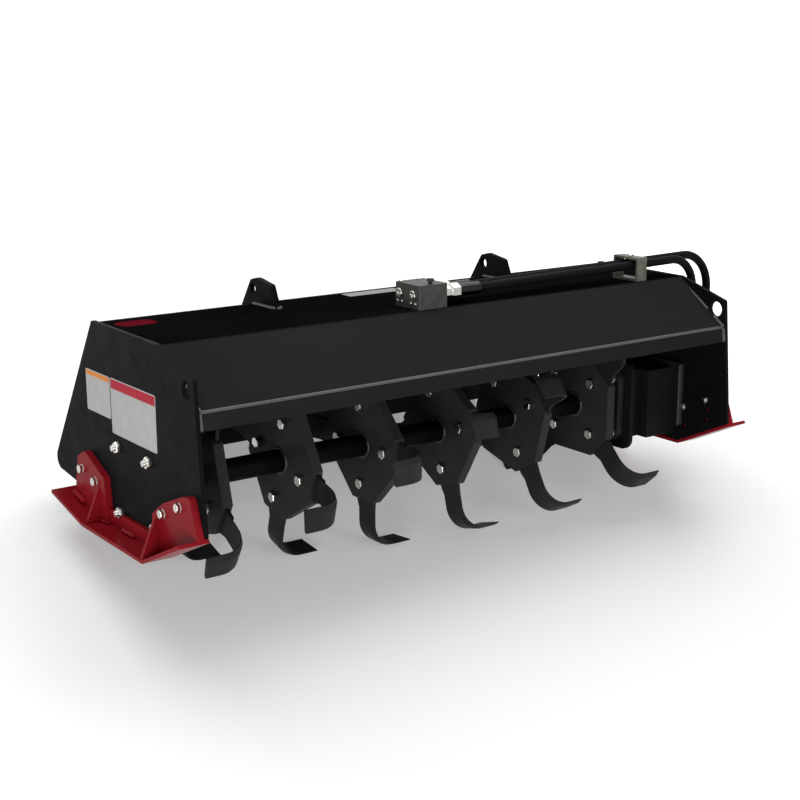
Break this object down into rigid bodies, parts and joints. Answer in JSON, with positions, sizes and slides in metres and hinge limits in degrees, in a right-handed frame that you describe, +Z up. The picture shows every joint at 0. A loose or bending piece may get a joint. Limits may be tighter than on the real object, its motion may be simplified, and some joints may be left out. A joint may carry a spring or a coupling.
{
  "type": "rotary tiller attachment",
  "caption": "Hydraulic rotary tiller for a skid-steer loader: sheet hood between side plates, slotted-flange rotor with curved tines, motor drive, red skid shoes and quick-attach plate.",
  "frame": {"origin": "middle of the bounding box at the floor, as it rests when parked: tipped back 18.4 degrees and leaning 1.5 degrees to the right, on two tines and a corner of the attach plate's ledge", "axes": "+X along the rotor to the motor side, +Y back to the loader, +Z up from the floor"},
  "size_m": [1.7948, 0.7984, 0.6749],
  "materials": {
    "frame_black": "satin",
    "hood_black": "satin",
    "rotor_black": "satin",
    "tine_steel": "satin",
    "red_paint": "semi-gloss",
    "hose_rubber": "matte",
    "zinc_fittings": "satin",
    "block_steel": "satin",
    "knob_black": "satin",
    "clamp_zinc": "satin",
    "motor_black": "semi-gloss",
    "bearing_iron": "satin"
  },
  "bodies": {
    "housing": {"attach_hook_lip": "frame_black", "attach_pin_ledge": "frame_black", "attach_plate": "frame_black", "drive_bearing": "bearing_iron", "drive_box": "frame_black", "hood": "hood_black", "hose_clamp": "clamp_zinc", "hydraulic_motor": "motor_black", "left_bearing": "bearing_iron", "left_lug": "frame_black", "left_side_plate": "frame_black", "left_skid_front_ear": "red_paint", "left_skid_rear_ear": "red_paint", "left_skid_rib": "red_paint", "left_skid_sole": "red_paint", "motor_port_block": "motor_black", "pressure_block_fitting": "zinc_fittings", "pressure_hose": "hose_rubber", "pressure_motor_fitting": "zinc_fittings", "rear_panel": "frame_black", "return_block_fitting": "zinc_fittings", "return_hose": "hose_rubber", "return_motor_fitting": "zinc_fittings", "right_lug": "frame_black", "right_side_plate": "frame_black", "right_skid_front_ear": "red_paint", "right_skid_rear_ear": "red_paint", "right_skid_rib": "red_paint", "right_skid_sole": "red_paint", "valve_block": "block_steel", "valve_knob": "knob_black"},
    "rotor": {"rotor_shaft": "rotor_black", "tine_flange_1": "rotor_black", "tine_flange_2": "rotor_black", "tine_flange_3": "rotor_black", "tine_flange_4": "rotor_black", "tine_flange_5": "rotor_black", "tine_flange_6": "rotor_black", "tines_1": "tine_steel", "tines_2": "tine_steel", "tines_3": "tine_steel", "tines_4": "tine_steel", "tines_5": "tine_steel", "tines_6": "tine_steel"}
  },
  "joints": [
    {"name": "rotor_spin", "type": "hinge", "parent": "housing", "child": "rotor", "pos_m": [-0.06139, -0.09323, 0.25533], "axis": [0.9997, 0, -0.0257], "continuous": true}
  ]
}
